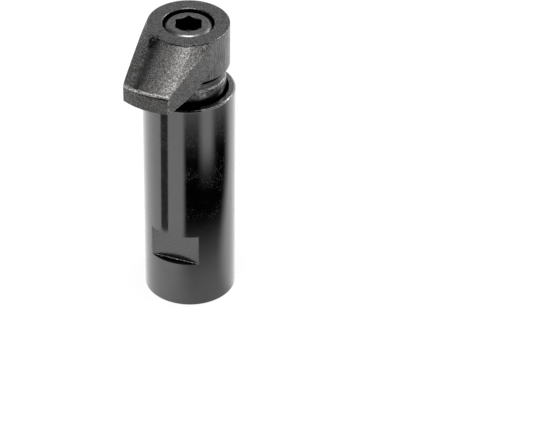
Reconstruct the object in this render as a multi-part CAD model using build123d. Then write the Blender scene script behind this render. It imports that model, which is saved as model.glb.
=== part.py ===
from build123d import *

import os
from math import acos, asin, cos, pi, radians, sin, sqrt, tan

# Screw-operated hook clamp. A turned sleeve is bolted down by the thread in its base, and a hook with a
# round shank slides and swivels in it. The clamp screw runs down through the hook into the sleeve's
# solid core and pulls the hook down onto the work. A spring lifts the hook when the screw is slackened.
# Millimetres and degrees. The origin is the centre of the sleeve's base, and +Z points up the sleeve.
# The spanner flats of the sleeve face -Y and +Y. The clamp stands open, at the top of its travel.

# Housing sleeve
HOUSING_D = 36.0
HOUSING_H = 93.0
HOUSING_RIM_BREAK = 0.9
HOUSING_BASE_BREAK = 0.5
GUIDE_BORE_D = 29.0
GUIDE_BORE_DEPTH = 53.0
GUIDE_LEAD_IN = 1.2
GUIDE_LEAD_IN_DEPTH = 1.5

# Spanner flats milled across the sleeve's solid core
FLATS_ACROSS = 30.0
FLATS_FROM_BASE = 20.2
FLATS_WIDTH = 13.4
FLATS_CORNER_R = 0.4

# Threads are plain cylinders at the pitch diameter
SCREW_THREAD_D = 12.0
SCREW_THREAD_PITCH = 1.75
SCREW_ENGAGEMENT = 10.6
CLAMPING_TURNS = 3.5
CORE_THREAD_SPARE = 1.3
BASE_THREAD_D = 12.0
BASE_THREAD_PITCH = 1.75
BASE_THREAD_DEPTH = 13.0
BASE_THREAD_BREAK = 0.9
PITCH_LINE_DEPTH = 0.6495
DRILL_POINT_ANGLE = 118.0

# Hook: shank, neck and eye are one turned form, and the nose grows out of the eye
EYE_D = 31.7
EYE_H = 17.6
EYE_RISE = 11.4
EYE_FOOT_BREAK = 0.35
COUNTERBORE_D = 20.0
COUNTERBORE_DEPTH = 12.6
COUNTERBORE_BREAK = 0.25
NECK_D = 28.2
NECK_H = 4.7
NECK_GROOVE_D = 25.8
NECK_GROOVE_W = 2.2
NECK_RING_W = 0.5
NECK_RING_PITCH = 1.15
NECK_RING_DEPTH = 0.18
NECK_RING_COUNT = 2
SHANK_H = 40.0
SHANK_TOP_BREAK = 0.4
SHANK_FOOT_BREAK = 1.0

# Nose of the hook, measured from the clamp's axis
NOSE_REACH = 34.3
NOSE_TIP_W = 19.8
NOSE_TOP_FALL_ANGLE = 34.3
NOSE_CORNER_R = 1.0
HOOK_EDGE_R = 0.45
PAD_DROP = 2.6
PAD_FROM_TIP = 3.3
PAD_LENGTHWISE_R = 44.0
PAD_CROSSWISE_R = 80.0
HOOK_REST_ANGLE = -97.45

# Clamp screw: socket head cap screw
SCREW_THREAD_LENGTH = 36.0
SCREW_TIP_BREAK = 0.8
SCREW_HEAD_D = 18.0
SCREW_HEAD_H = 12.0
SCREW_HEAD_EDGE_R = 0.9
SCREW_UNDERHEAD_R = 0.4
SOCKET_ACROSS = 10.0
SOCKET_DEPTH = 6.0
SOCKET_MOUTH_BREAK = 0.35
SOCKET_FLOOR_ANGLE = 120.0
SCREW_REST_ANGLE = -9.6

# Compression spring, and the thrust washer between it and the hook's shank
WASHER_T = 2.0
WASHER_BREAK = 0.3
SPRING_WIRE_D = 2.2
SPRING_WIRE_SIDES = 12
SPRING_ACTIVE_TURNS = 2.5
SPRING_CLOSED_TURNS = 1.0
SPRING_CLOSED_GAP = 0.05

# Clearances on the radius
GUIDE_CLEARANCE = 0.05
THREAD_CLEARANCE = 0.06
SCREW_PASS_CLEARANCE = 0.6
WASHER_BORE_CLEARANCE = 0.3
WASHER_RIM_CLEARANCE = 0.25
SPRING_RIM_CLEARANCE = 1.0

# Margin by which a cutting tool runs past the face that it opens
OVERRUN = 1.0

# Radii and heights that follow from the sizes above
housing_r = HOUSING_D / 2
guide_r = GUIDE_BORE_D / 2
guide_floor = HOUSING_H - GUIDE_BORE_DEPTH
screw_r = SCREW_THREAD_D / 2
screw_thread_r = (SCREW_THREAD_D - PITCH_LINE_DEPTH * SCREW_THREAD_PITCH) / 2
base_thread_r = (BASE_THREAD_D - PITCH_LINE_DEPTH * BASE_THREAD_PITCH) / 2
eye_r = EYE_D / 2
eye_foot = HOUSING_H + EYE_RISE
eye_top = eye_foot + EYE_H
neck_r = NECK_D / 2
neck_foot = eye_foot - NECK_H
shank_r = guide_r - GUIDE_CLEARANCE
shank_foot = neck_foot - SHANK_H
screw_seat = eye_top - COUNTERBORE_DEPTH
screw_tip = guide_floor - SCREW_ENGAGEMENT
screw_pass_r = screw_r + SCREW_PASS_CLEARANCE
core_thread_depth = SCREW_ENGAGEMENT + CLAMPING_TURNS * SCREW_THREAD_PITCH + CORE_THREAD_SPARE
pad_foot = eye_foot - PAD_DROP
washer_foot = shank_foot - WASHER_T
spring_h = washer_foot - guide_floor


def turned(outline):
    """Solid turned about the clamp's axis from a closed outline of (radius, height) points."""
    return revolve(Plane.XZ * make_face(Polyline(*outline, close=True)), Axis.Z)


def tapped_hole(radius, mouth_z, depth, going):
    """Tool for a blind tapped hole with a drill point; going is -1 downwards and +1 upwards."""
    point_h = radius / tan(radians(DRILL_POINT_ANGLE / 2))
    return turned([
        (0, mouth_z - going * OVERRUN),
        (radius, mouth_z - going * OVERRUN),
        (radius, mouth_z + going * depth),
        (0, mouth_z + going * (depth + point_h)),
    ])


def mouth_countersink(radius, mouth_z, going):
    """Tool for the edge break round the mouth of a hole that runs down (-1) or up (+1)."""
    wide_r = radius + BASE_THREAD_BREAK + OVERRUN
    return turned([
        (0, mouth_z - going * OVERRUN),
        (wide_r, mouth_z - going * OVERRUN),
        (0, mouth_z + going * (wide_r - OVERRUN)),
    ])


def flat_cutter(side):
    """Slot of the milling cutter that leaves one spanner flat, on the -Y or +Y side."""
    flat_y = FLATS_ACROSS / 2
    block = Box(HOUSING_D, housing_r, FLATS_WIDTH, align=(Align.CENTER, Align.MIN, Align.MIN))
    corners = block.faces().sort_by(Axis.Y)[0].edges().filter_by(Axis.X)
    cutter = Pos(0, flat_y, FLATS_FROM_BASE) * fillet(corners, FLATS_CORNER_R)
    return cutter if side > 0 else Rot(0, 0, 180) * cutter


def make_housing():
    """Sleeve with a guide bore from above, a tapped solid core and a blind thread in its base."""
    body = turned([
        (0, 0),
        (housing_r - HOUSING_BASE_BREAK, 0),
        (housing_r, HOUSING_BASE_BREAK),
        (housing_r, HOUSING_H - HOUSING_RIM_BREAK),
        (housing_r - HOUSING_RIM_BREAK, HOUSING_H),
        (guide_r + GUIDE_LEAD_IN, HOUSING_H),
        (guide_r, HOUSING_H - GUIDE_LEAD_IN_DEPTH),
        (guide_r, guide_floor),
        (0, guide_floor),
    ])
    body -= tapped_hole(screw_thread_r + THREAD_CLEARANCE, guide_floor, core_thread_depth, going=-1)
    body -= tapped_hole(base_thread_r, 0, BASE_THREAD_DEPTH, going=+1)
    body -= mouth_countersink(base_thread_r, 0, going=+1)
    for side in (-1, +1):
        body -= flat_cutter(side)
    return body


def neck_outline():
    """Points up the neck: the shank's shoulder, the turned rings and the groove under the eye."""
    points = [(shank_r, neck_foot - SHANK_TOP_BREAK), (neck_r, neck_foot)]
    for number in range(NECK_RING_COUNT):
        ring_z = neck_foot + NECK_RING_PITCH * (number + 0.5)
        points.append((neck_r, ring_z))
        points.append((neck_r - NECK_RING_DEPTH, ring_z + NECK_RING_W / 2))
        points.append((neck_r, ring_z + NECK_RING_W))
    groove_foot = eye_foot - NECK_GROOVE_W
    points.append((neck_r, groove_foot))
    points.append((NECK_GROOVE_D / 2, groove_foot))
    points.append((NECK_GROOVE_D / 2, eye_foot))
    return points


def turned_blank():
    """Shank, neck and eye of the hook, still without holes, with the rim of the eye rounded."""
    blank = turned([
        (0, shank_foot),
        (shank_r - SHANK_FOOT_BREAK, shank_foot),
        (shank_r, shank_foot + SHANK_FOOT_BREAK),
        *neck_outline(),
        (eye_r - EYE_FOOT_BREAK, eye_foot),
        (eye_r, eye_foot + EYE_FOOT_BREAK),
        (eye_r, eye_top),
        (0, eye_top),
    ])
    eye_rim = blank.edges().sort_by(Axis.Z)[-1]
    return fillet(eye_rim, HOOK_EDGE_R)


def nose_plan():
    """Plan of the nose along +X: sides tangent to the eye, and an end that is an arc about the axis."""
    tip_angle = asin(NOSE_TIP_W / 2 / NOSE_REACH)
    tangent_angle = tip_angle + acos(eye_r / NOSE_REACH)
    root_x, root_y = eye_r * cos(tangent_angle), eye_r * sin(tangent_angle)
    tip_x, tip_y = NOSE_REACH * cos(tip_angle), NOSE_REACH * sin(tip_angle)
    outline = [
        Line((0, 0), (root_x, root_y)),
        Line((root_x, root_y), (tip_x, tip_y)),
        ThreePointArc((tip_x, tip_y), (NOSE_REACH, 0), (tip_x, -tip_y)),
        Line((tip_x, -tip_y), (root_x, -root_y)),
        Line((root_x, -root_y), (0, 0)),
    ]
    plan = make_face(outline)
    return fillet(plan.vertices().sort_by(Axis.X)[-2:], NOSE_CORNER_R)


def nose_roof():
    """Everything under the cone that falls from the rim of the eye to the end of the nose."""
    outer_r = NOSE_REACH + OVERRUN
    outer_z = eye_top - (outer_r - eye_r) * tan(radians(NOSE_TOP_FALL_ANGLE))
    low_z = pad_foot - OVERRUN
    return turned([(0, low_z), (outer_r, low_z), (outer_r, outer_z), (eye_r, eye_top), (0, eye_top)])


def nose_crown():
    """Everything over the clamping pad: a barrel that is crowned both along and across the nose."""
    half_w = eye_r + OVERRUN
    edge_rise = PAD_CROSSWISE_R - sqrt(PAD_CROSSWISE_R**2 - half_w**2)
    section = [
        ThreePointArc((-half_w, edge_rise), (0, 0), (half_w, edge_rise)),
        Line((half_w, edge_rise), (half_w, PAD_LENGTHWISE_R)),
        Line((half_w, PAD_LENGTHWISE_R), (-half_w, PAD_LENGTHWISE_R)),
        Line((-half_w, PAD_LENGTHWISE_R), (-half_w, edge_rise)),
    ]
    barrel_axis = Axis((0, 0, PAD_LENGTHWISE_R), (0, 1, 0))
    barrel = revolve(Plane.YZ * make_face(section), barrel_axis)
    return Pos(NOSE_REACH - PAD_FROM_TIP, 0, pad_foot) * barrel


def nose_outer_edges(nose):
    """Edges round the roof and round the pad, without the edges that end up inside the eye."""
    def is_outer(edge):
        start, end = edge @ 0, edge @ 1
        rise = abs(start.Z - end.Z)
        upright = edge.geom_type == GeomType.LINE and rise > HOOK_EDGE_R
        flush = min(start.Z, end.Z) > eye_top - HOOK_EDGE_R
        inside = min(Vector(start.X, start.Y).length, Vector(end.X, end.Y).length) < eye_r / 2
        return not (upright or flush or inside)
    return nose.edges().filter_by(is_outer)


def make_nose():
    """Nose along +X with its conical roof, its crowned pad and rounded edges."""
    low_z = pad_foot - OVERRUN
    blank = extrude(Pos(0, 0, low_z) * nose_plan(), eye_top - low_z)
    nose = blank & nose_roof() & nose_crown()
    return fillet(nose_outer_edges(nose), HOOK_EDGE_R)


def screw_passage():
    """Tool for the counterbore and the hole that the clamp screw passes through."""
    seat_r = COUNTERBORE_D / 2
    return turned([
        (0, shank_foot - OVERRUN),
        (screw_pass_r, shank_foot - OVERRUN),
        (screw_pass_r, screw_seat),
        (seat_r, screw_seat),
        (seat_r, eye_top - COUNTERBORE_BREAK),
        (seat_r + COUNTERBORE_BREAK, eye_top),
        (seat_r + COUNTERBORE_BREAK, eye_top + OVERRUN),
        (0, eye_top + OVERRUN),
    ])


def make_hook():
    """Hook in one piece, swung to its rest position."""
    hook = turned_blank() + make_nose() - screw_passage()
    return Rot(0, 0, HOOK_REST_ANGLE) * hook


def hexagon_socket():
    """Tool for the hexagon socket, with its mouth at the origin and its drill point below."""
    corner_r = SOCKET_ACROSS / 2 / cos(pi / 6)
    flat_r = SOCKET_ACROSS / 2
    point_h = flat_r / tan(radians(SOCKET_FLOOR_ANGLE / 2))
    hexagon = Pos(0, 0, -SOCKET_DEPTH) * extrude(RegularPolygon(corner_r, 6), SOCKET_DEPTH + OVERRUN)
    drilled = turned([(0, 0), (flat_r, 0), (flat_r, -SOCKET_DEPTH), (0, -SOCKET_DEPTH - point_h)])
    mouth_r = flat_r + SOCKET_MOUTH_BREAK
    mouth = turned([(0, OVERRUN), (mouth_r + OVERRUN, OVERRUN), (0, -mouth_r)])
    return hexagon + drilled + mouth


def make_clamp_screw():
    """Socket head cap screw with its head on the floor of the hook's counterbore."""
    head_r = SCREW_HEAD_D / 2
    head_top = screw_seat + SCREW_HEAD_H
    thread_top = screw_tip + SCREW_THREAD_LENGTH
    screw = turned([
        (0, screw_tip),
        (screw_thread_r - SCREW_TIP_BREAK, screw_tip),
        (screw_thread_r, screw_tip + SCREW_TIP_BREAK),
        (screw_thread_r, thread_top),
        (screw_r, thread_top + screw_r - screw_thread_r),
        (screw_r, screw_seat - SCREW_UNDERHEAD_R),
        (screw_r + SCREW_UNDERHEAD_R, screw_seat),
        (head_r, screw_seat),
        (head_r, head_top),
        (0, head_top),
    ])
    head_rim = screw.edges().sort_by(Axis.Z)[-1]
    screw = fillet(head_rim, SCREW_HEAD_EDGE_R) - Pos(0, 0, head_top) * hexagon_socket()
    return Rot(0, 0, SCREW_REST_ANGLE) * screw


def make_thrust_washer():
    """Flat washer that the hook swivels on, so that it doesn't wind up the spring."""
    bore_r = screw_r + WASHER_BORE_CLEARANCE
    rim_r = guide_r - WASHER_RIM_CLEARANCE
    return turned([
        (bore_r, washer_foot),
        (rim_r - WASHER_BREAK, washer_foot),
        (rim_r, washer_foot + WASHER_BREAK),
        (rim_r, shank_foot - WASHER_BREAK),
        (rim_r - WASHER_BREAK, shank_foot),
        (bore_r, shank_foot),
    ])


def make_compression_spring():
    """Coil spring with closed ends that are ground flat, on the floor of the guide bore.

    The wire has flat facets inside its true round section, which keep so long a coil light.
    """
    coil_r = guide_r - SPRING_RIM_CLEARANCE - SPRING_WIRE_D / 2
    closed_pitch = SPRING_WIRE_D + SPRING_CLOSED_GAP
    closed_rise = closed_pitch * SPRING_CLOSED_TURNS
    active_rise = spring_h - 2 * closed_rise
    stretches = [
        (closed_pitch, closed_rise),
        (active_rise / SPRING_ACTIVE_TURNS, active_rise),
        (closed_pitch, closed_rise),
    ]
    coils = []
    start_z, start_turn = guide_floor, 0.0
    for pitch, rise in stretches:
        coils.append(Pos(0, 0, start_z) * Rot(0, 0, 360 * start_turn) * Helix(pitch, rise, coil_r))
        start_z += rise
        start_turn += rise / pitch
    path = Wire(coils)
    section = Plane(origin=path @ 0, z_dir=path % 0) * RegularPolygon(SPRING_WIRE_D / 2, SPRING_WIRE_SIDES)
    wound = sweep(section, path, is_frenet=True, transition=Transition.TRANSFORMED)
    ground = Pos(0, 0, guide_floor + spring_h / 2) * Cylinder(guide_r, spring_h)
    return wound & ground


PIECES = {
    "housing": make_housing,
    "hook": make_hook,
    "clamp_screw": make_clamp_screw,
    "thrust_washer": make_thrust_washer,
    "compression_spring": make_compression_spring,
}

os.makedirs("parts", exist_ok=True)
for node, make_piece in PIECES.items():
    export_step(make_piece(), f"parts/{node}.step")
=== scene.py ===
import logging
import math
from collections.abc import Callable, Mapping, Sequence
from dataclasses import dataclass
from enum import Enum
from functools import partial
from typing import ClassVar

import bmesh
import bpy
import numpy as np
from mathutils import Matrix, Vector


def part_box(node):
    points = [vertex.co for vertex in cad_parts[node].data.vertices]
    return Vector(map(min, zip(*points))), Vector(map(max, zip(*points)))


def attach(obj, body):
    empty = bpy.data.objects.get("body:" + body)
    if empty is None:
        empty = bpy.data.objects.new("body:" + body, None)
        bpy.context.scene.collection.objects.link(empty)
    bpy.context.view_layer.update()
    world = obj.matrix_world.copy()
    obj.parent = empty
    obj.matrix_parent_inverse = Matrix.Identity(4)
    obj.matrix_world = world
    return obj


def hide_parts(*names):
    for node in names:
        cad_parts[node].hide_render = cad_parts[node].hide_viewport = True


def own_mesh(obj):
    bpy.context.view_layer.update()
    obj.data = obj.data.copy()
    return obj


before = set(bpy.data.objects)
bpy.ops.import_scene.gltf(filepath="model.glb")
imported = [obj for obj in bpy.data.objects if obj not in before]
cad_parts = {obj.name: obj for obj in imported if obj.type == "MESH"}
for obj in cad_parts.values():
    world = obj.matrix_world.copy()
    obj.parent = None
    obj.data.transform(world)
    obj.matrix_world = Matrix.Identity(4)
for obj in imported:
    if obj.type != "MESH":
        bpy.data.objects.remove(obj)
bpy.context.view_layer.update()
log = logging.getLogger("hook_clamp")

# Sizes are in millimetres and degrees where a class holds them, and in metres in Blender
MM = 0.001
SEW_DISTANCE = 0.0008 * MM
SHARP_ANGLE = math.radians(30)
THREAD_COLUMNS = 60
THREAD_ROWS = 16
# A rounding has this many rows of faces and takes at most this share of the stretches beside it
ROUND_ROWS = 6
ROUND_LIMIT = 0.45
# The ring that keeps a stretch flat lies this near to a rounding, in millimetres or in rows
SUPPORT = 0.12
SUPPORT_ROWS = 0.4
# Shares of the way round a corner: how far wear fades, and where a crease's painted shade lies and how
# far it fades
WEAR_SPAN = 0.45
CREASE_AT = 0.85
CREASE_SPAN = 0.3
TINY = 1e-9
# Radii that differ by less than this many millimetres count as the same
SAME_RADIUS = 1e-4
# The property that holds a node's mode, which stands behind its type, as in "Math:ADD"
MODES = {"Math": "operation", "VectorMath": "operation", "MapRange": "interpolation_type",
         "Mix": "data_type"}

Array = np.ndarray
Amount = float | Array
Place = tuple[float, float, float]
Material = bpy.types.Material
Mesh = bpy.types.Mesh
Socket = bpy.types.NodeSocket
Tree = bpy.types.NodeTree


class Surface(Enum):
    """How a stretch of a piece was worked, named as the share that its finish reads."""

    FORGED = "forged"
    POLISHED = "polished"
    BRUSHED = "brushed"
    MILLED = "milled"
    KNURLED = "knurled"
    FACED = "faced"


FORGED, POLISHED, BRUSHED, MILLED, KNURLED, FACED = Surface
# Each mesh carries a share for each way of working, one for wear and one for painted shade, which the
# finishes paint black
SHARES = (*(surface.value for surface in Surface), "wear", "grime")


def per(size: float) -> float:
    """Gives a pattern's scale from the size of its features in millimetres."""
    return 1 / (size * MM)


def columns(count: int) -> Array:
    """Gives the angles of evenly spaced columns, in radians."""
    return np.linspace(0, math.tau, count, endpoint=False)


def outwards(azimuth: float, elevation: float) -> Vector:
    """Gives the direction from the clamp at an azimuth and elevation in degrees."""
    turn, rise = math.radians(azimuth), math.radians(elevation)
    return Vector((math.sin(turn) * math.cos(rise), -math.cos(turn) * math.cos(rise), math.sin(rise)))


def linear(hex_colour: str) -> tuple[float, float, float, float]:
    """Turns an sRGB hex colour into linear red, green, blue and alpha.

    Args:
        hex_colour: The colour as "#rrggbb".

    Returns:
        Four linear values, with an alpha of 1.
    """
    parts = [int(hex_colour[start:start + 2], 16) / 255 for start in (1, 3, 5)]
    curve = [part / 12.92 if part <= 0.04045 else ((part + 0.055) / 1.055) ** 2.4 for part in parts]
    return (*curve, 1.0)


def add_node(tree: Tree, kind: str, *values: object, out: str | int = 0,
             stops: Sequence[tuple[float, str]] = (), **settings: object) -> Socket:
    """Adds a node to a tree, sets it up and links it.

    Args:
        tree: The node tree.
        kind: Its type without "ShaderNode", with the mode of a node that has one in MODES.
        values: Constants, hex colours and sockets to link, in the order of the inputs, or one
            mapping that gives them by the inputs' names or numbers.
        out: The output that is wanted, by name or number.
        stops: A colour ramp's places from 0 to 1, each with its hex colour.
        settings: Properties of the node itself.

    Returns:
        The output that was asked for, or nothing from a node without outputs.
    """
    kind, _, mode = kind.partition(":")
    node = tree.nodes.new(kind if "Node" in kind else "ShaderNode" + kind)
    if mode:
        settings[MODES[kind]] = mode
    for name, value in settings.items():
        setattr(node, name, value)
    named = values and isinstance(values[0], Mapping)
    for name, value in (values[0] if named else dict(enumerate(values))).items():
        if isinstance(value, bpy.types.NodeSocket):
            tree.links.new(value, node.inputs[name])
        else:
            is_hex = isinstance(value, str) and value.startswith("#")
            node.inputs[name].default_value = linear(value) if is_hex else value
    for number, (place, hex_colour) in enumerate(stops):
        points = node.color_ramp.elements
        point = points[number] if number < 2 else points.new(place)
        point.position = place
        point.color = linear(hex_colour)
    return node.outputs[out] if node.outputs else None


def blank_material(name: str) -> tuple[Material, Callable[..., Socket]]:
    """Makes a material with no nodes in it.

    Args:
        name: The material's name.

    Returns:
        The material, and add_node for its tree.
    """
    material = bpy.data.materials.new(name)
    material.use_nodes = True
    material.node_tree.nodes.clear()
    return material, partial(add_node, material.node_tree)


def link_object(name: str, data: bpy.types.ID) -> bpy.types.Object:
    """Puts a mesh, lamp or camera into the scene as an object at the origin.

    Args:
        name: The object's name.
        data: What it shows.

    Returns:
        The object.
    """
    made = bpy.data.objects.new(name, data)
    bpy.context.scene.collection.objects.link(made)
    return made


@dataclass(frozen=True)
class ForgedBlackOxide:
    """Drop-forged steel, black oxide, matt.

    Forging scale and blasting leave pits and grains of about half a millimetre that catch the light
    one by one. The machined stretches are smoother, the eye's wall shows upright grinding streaks,
    and the neck and the ground shank are nearly a mirror. Painted shade blackens the shank where it
    enters its bore, the groove under the eye, the counterbore, the step at the eye's rim and a line
    under the tip's top edge. The edges that rub on the work have gone lighter, and the right of the
    eye's rim has a painted highlight. The nose's roof has painted shading, darker on its left and
    lighter on its right, and near its left a patch of the scale is burnt.
    """

    name: str = "forged_steel_black_oxide"
    grain: float = 0.33
    mottle: float = 2.2
    smear: float = 1.4
    flake: float = 1.5
    # Grinding streaks are about 0.1 mm wide and are drawn wider so that they show
    streak: float = 0.33
    streak_stretch: float = 14.0
    relief_depth: float = 0.44
    burnt_spot: Place = (-8.0, -15.4, 120.4)
    burnt_reach: Place = (6.0, 8.0, 8.0)
    # Direction across the nose, and the distance to each side that the roof's painted shading spans
    roof_across: Place = (1.002, -0.0504, 0.0)
    roof_edge: float = 12.0

    def build(self) -> Material:
        """Builds the material from the shares that the hook's mesh carries.

        Returns:
            The material.
        """
        material, add = blank_material(self.name)
        forged, polished, brushed, wear, grime = (
            add("Attribute", out="Fac", attribute_name=label)
            for label in ("forged", "polished", "brushed", "wear", "grime"))
        place = add("TexCoord", out="Object")
        noise, mottle, smear, flake = (
            add("TexNoise", {"Vector": place, "Scale": per(size), "Detail": detail, "Roughness": rough})
            for size, detail, rough in ((self.grain, 2.0, 0.6), (self.mottle, 3.0, 0.55),
                                        (self.smear, 3.0, 0.5), (self.flake, 3.0, 0.5)))
        cell = add("TexVoronoi", {"Vector": place, "Scale": per(self.grain)}, out="Color")
        grain = add("Mix", {0: 0.6, 2: noise, 3: cell})
        upright = add("Mapping", {"Vector": place, "Scale": (1.0, 1.0, 1 / self.streak_stretch)})
        streak = add("TexNoise", {"Vector": upright, "Scale": per(self.streak)})
        speckle = add("Mix", {0: 0.15, 2: grain, 3: mottle})
        scale = add("ValToRGB", speckle, stops=[(0.3, "#444342"), (0.5, "#6c6a69"), (0.7, "#acaaa9")])
        faced = add("ValToRGB", speckle, stops=[(0.3, "#454545"), (0.7, "#828282")])
        ground = add("ValToRGB", streak, stops=[(0.38, "#444444"), (0.62, "#777777")])
        oily = add("ValToRGB", smear, stops=[(0.4, "#444444"), (0.6, "#747474")])
        # Painted shading on the roof: dark on its left, lighter and highlighted on its right, from its
        # left side to its right; faces that look less upward take one plain tone
        across = add("VectorMath:DOT_PRODUCT", place, self.roof_across, out="Value")
        across = add("MapRange", across, -self.roof_edge * MM, self.roof_edge * MM)
        tone = add("ValToRGB", across, stops=[
            (0.08, "#e0e0e0"), (0.15, "#bababa"), (0.23, "#5a5a5a"), (0.3, "#7c7c7c"),
            (0.37, "#a8a8a8"), (0.48, "#b2b2b2"), (0.62, "#c8c8c8"), (0.71, "#f6f6f6"),
            (0.82, "#ffffff"), (0.87, "#c4c4c4")])
        facing = add("SeparateXYZ", add("TexCoord", out="Normal"), out="Z")
        upward = add("MapRange", facing, 0.3, 0.6)
        tone = add("Mix:RGBA", {0: upward, 6: "#c4c4c4", 7: tone}, out=2)
        scale = add("Mix:RGBA", {0: 1.0, 6: scale, 7: tone}, out=2, blend_type="MULTIPLY")
        # The burnt patch, which breaks up into flakes at its edge
        away = add("VectorMath:SUBTRACT", place, Vector(self.burnt_spot) * MM)
        away = add("VectorMath:DIVIDE", away, Vector(self.burnt_reach) * MM)
        away = add("VectorMath:LENGTH", away, out="Value")
        patch = add("MapRange:SMOOTHSTEP", away, 0.0, 1.0, 1.0, 0.0)
        burnt = add("MapRange", add("Math:MULTIPLY_ADD", patch, 0.31, flake), 0.72, 0.76)
        # Painted shade: black where the mesh marks shade, ragged at its edge; with the burnt patch it
        # makes the black layer
        shaded = add("MapRange", add("Math:ADD", grime, smear), 0.75, 1.05)
        black = add("Math:MAXIMUM", shaded, burnt)
        worn = add("Math:MULTIPLY", wear, add("MapRange", grain, 0.35, 0.6))
        colour = faced
        for share, layer in ((forged, scale), (brushed, ground), (polished, oily),
                             (black, "#0e0d0c"), (worn, "#d2d2d0")):
            colour = add("Mix:RGBA", {0: share, 6: colour, 7: layer}, out=2)
        matt = add("Math:SUBTRACT", 1.0, polished)
        lines = add("Math:MULTIPLY", add("Math:MULTIPLY", streak, brushed), 0.45)
        relief = add("Math:MULTIPLY_ADD", speckle, forged, lines)
        relief = add("Math:MULTIPLY", add("Math:MULTIPLY_ADD", grain, 0.16, relief), matt)
        bump = add("Bump", {"Height": relief, "Distance": self.relief_depth * MM})
        rough = add("MapRange", grain, 0.3, 0.7, 0.25, 0.4)
        oil = add("Math:MULTIPLY", matt, add("Math:SUBTRACT", 1.0, black))
        add("OutputMaterial", add("BsdfPrincipled", {
            "Base Color": colour, "Metallic": 1.0, "Normal": bump,
            "Roughness": add("Mix", {0: polished, 2: rough, 3: 0.13}),
            "Coat Weight": add("Math:MULTIPLY", oil, 0.5), "Coat Roughness": 0.25,
            "Coat IOR": 1.5, "Coat Normal": bump}))
        return material


@dataclass(frozen=True)
class TurnedBlackOxide:
    """Turned and polished steel, hot black oxide, oiled.

    The oxide is a thin dark skin on a nearly mirror-smooth cylinder, so it shows its surroundings
    darkly, with faint rings from the lathe and specks of dust. A film of oil makes it brighter at
    glancing angles. The milled flats and the faced ends are duller.
    """

    name: str = "turned_steel_black_oxide"
    # Lathe rings are about 0.1 mm apart and are drawn wider so that they show
    ring_pitch: float = 0.42
    ring_depth: float = 0.0044
    cloud: float = 7.0
    fleck: float = 0.5

    def build(self) -> Material:
        """Builds the material from the shares that the housing's mesh carries.

        Returns:
            The material.
        """
        material, add = blank_material(self.name)
        milled, faced, grime, wear = (add("Attribute", out="Fac", attribute_name=label)
                                      for label in ("milled", "faced", "grime", "wear"))
        place = add("TexCoord", out="Object")
        flattened = add("Mapping", {"Vector": place, "Scale": (0.02, 0.02, 1.0)})
        rings = add("TexNoise", {"Vector": flattened, "Scale": per(self.ring_pitch)})
        cloud = add("TexNoise", {
            "Vector": place, "Scale": per(self.cloud), "Detail": 4.0, "Roughness": 0.6})
        fleck = add("TexNoise", {"Vector": place, "Scale": per(self.fleck)})
        colour = add("ValToRGB", cloud, stops=[(0.3, "#4f4f50"), (0.7, "#575757")])
        cutter = add("ValToRGB", fleck, stops=[(0.3, "#3c3c3c"), (0.7, "#646464")])
        face = add("ValToRGB", fleck, stops=[(0.35, "#585858"), (0.65, "#aaaaaa")])
        # Painted shade: black, without the oil's gloss, where the mesh marks shade: the bore's mouth, the
        # rim under the hook's nose and the ledge under each flat
        smear = add("MapRange", add("Math:ADD", grime, fleck), 0.82, 0.98)
        worn = add("Math:MULTIPLY", wear, add("MapRange", fleck, 0.42, 0.6))
        for share, layer in ((milled, cutter), (faced, face), (smear, "#0c0c0c"), (worn, "#d0d0d0")):
            colour = add("Mix:RGBA", {0: share, 6: colour, 7: layer}, out=2)
        relief = add("Math:MULTIPLY_ADD", add("Math:MULTIPLY", fleck, faced), 6.0, rings)
        dust = add("Math:MULTIPLY", add("MapRange", fleck, 0.58, 0.66),
                   add("MapRange", cloud, 0.45, 0.6))
        rough = add("MapRange", cloud, 0.3, 0.7, 0.1, 0.15)
        for share, duller in ((add("Math:MAXIMUM", milled, faced), 0.3), (dust, 0.6)):
            rough = add("Mix", {0: share, 2: rough, 3: duller})
        add("OutputMaterial", add("BsdfPrincipled", {
            "Base Color": colour, "Metallic": 1.0, "Roughness": rough,
            "Normal": add("Bump", {"Height": relief, "Distance": self.ring_depth * MM}),
            "Coat Weight": add("Math:SUBTRACT", 1.0, smear), "Coat Roughness": 0.07,
            "Coat IOR": 1.52}))
        return material


@dataclass(frozen=True)
class CapScrewBlackOxide:
    """Alloy steel cap screw, black oxide.

    Satin, with faint turning rings on the head, edges from which the oxide has rubbed off and a
    socket that is painted near black as the shade inside it. The socket is forged cold, so the
    forged share marks it.
    """

    name: str = "cap_screw_black_oxide"
    grain: float = 0.7
    ring_pitch: float = 0.4
    ring_depth: float = 0.03

    def build(self) -> Material:
        """Builds the material from the shares that the screw's mesh carries.

        Returns:
            The material.
        """
        material, add = blank_material(self.name)
        wear, socket = (add("Attribute", out="Fac", attribute_name=label)
                        for label in ("wear", "forged"))
        place = add("TexCoord", out="Object")
        grain = add("TexNoise", {"Vector": place, "Scale": per(self.grain), "Detail": 3.0})
        across = add("Mapping", {"Vector": place, "Scale": (1.0, 1.0, 0.0)})
        rings = add("TexNoise", {"W": add("VectorMath:LENGTH", across, out="Value"), "Detail": 1.0,
                                 "Scale": per(self.ring_pitch)}, noise_dimensions="1D")
        colour = add("ValToRGB", grain, stops=[(0.35, "#6c6c6c"), (0.65, "#949494")])
        worn = add("Math:MULTIPLY", add("Math:MULTIPLY", wear, grain), 1.6, use_clamp=True)
        # The socket is painted near black as shade
        for share, layer in ((socket, "#161616"), (worn, "#c2c2c2")):
            colour = add("Mix:RGBA", {0: share, 6: colour, 7: layer}, out=2)
        relief = add("Mix", {0: 0.5, 2: grain, 3: rings})
        add("OutputMaterial", add("BsdfPrincipled", {
            "Base Color": colour, "Metallic": 1.0,
            "Roughness": add("Mix", {0: wear, 2: 0.36, 3: 0.1}),
            "Normal": add("Bump", {"Height": relief, "Distance": self.ring_depth * MM})}))
        return material


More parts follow.
